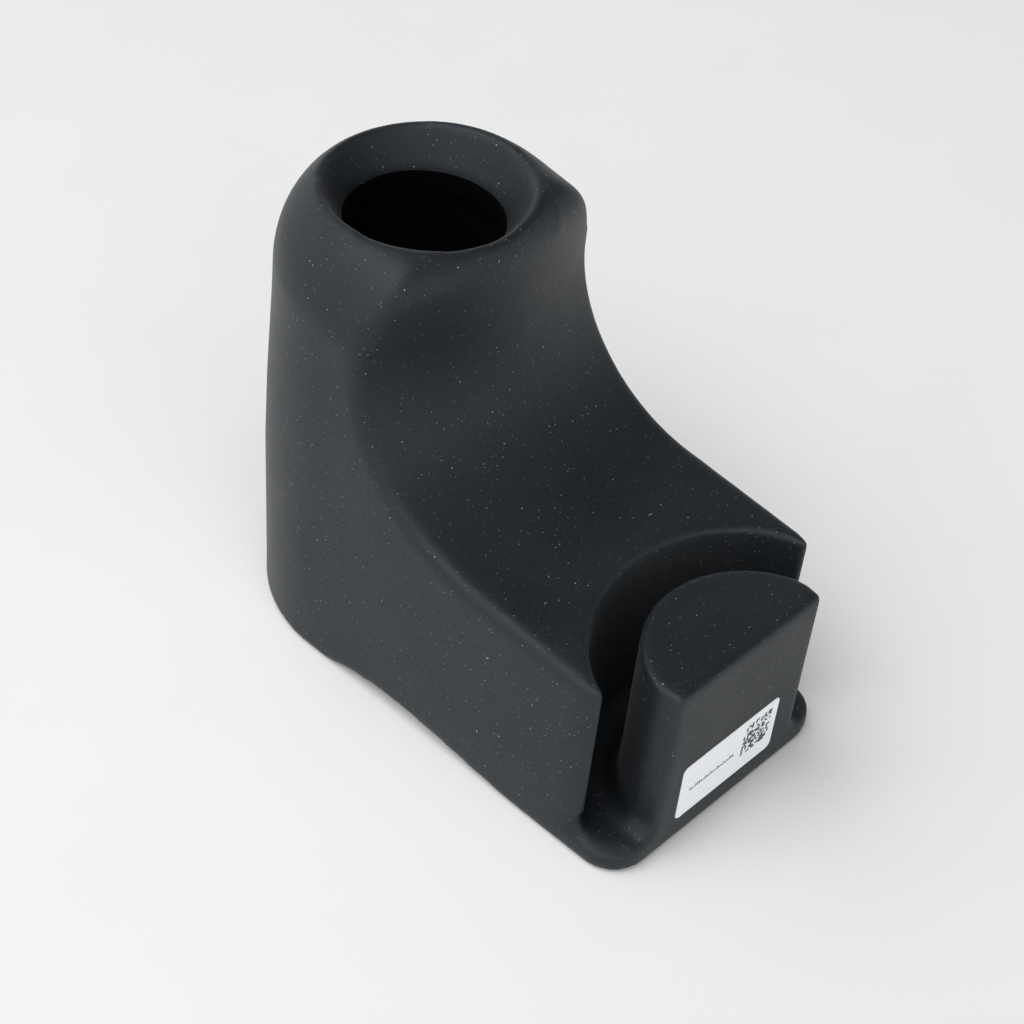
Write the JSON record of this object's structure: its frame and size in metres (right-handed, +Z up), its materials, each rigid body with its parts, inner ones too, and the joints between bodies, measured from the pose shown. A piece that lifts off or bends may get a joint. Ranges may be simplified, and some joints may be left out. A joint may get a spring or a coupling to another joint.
{
  "type": "snoot",
  "caption": "Black rubber snoot: a round-backed tower with a cupped mouth, a dished saddle in front of it, and a D-shaped clip block standing in a curved slot on a flat foot.",
  "frame": {"origin": "on the resting plane, under the middle of the part's length and width", "axes": "+Z up along the bore; +Y from the clip block back to the tower, along the part's length; +X across the part's width"},
  "size_m": [0.084, 0.1556, 0.1315],
  "materials": {
    "upper_rubber": "matt moulded silicone rubber with a fine dry bloom",
    "sole_rubber": "matt moulded silicone rubber with a fine dry bloom",
    "core_plastic": "plain moulded nylon",
    "liner_black": "dull black, non-reflecting",
    "label_film": "white printed film"
  },
  "bodies": {
    "root": {"upper_body": "upper_rubber", "sole_block": "sole_rubber", "block_core": "core_plastic", "bore_liner": "liner_black", "label": "label_film"}
  },
  "joints": []
}
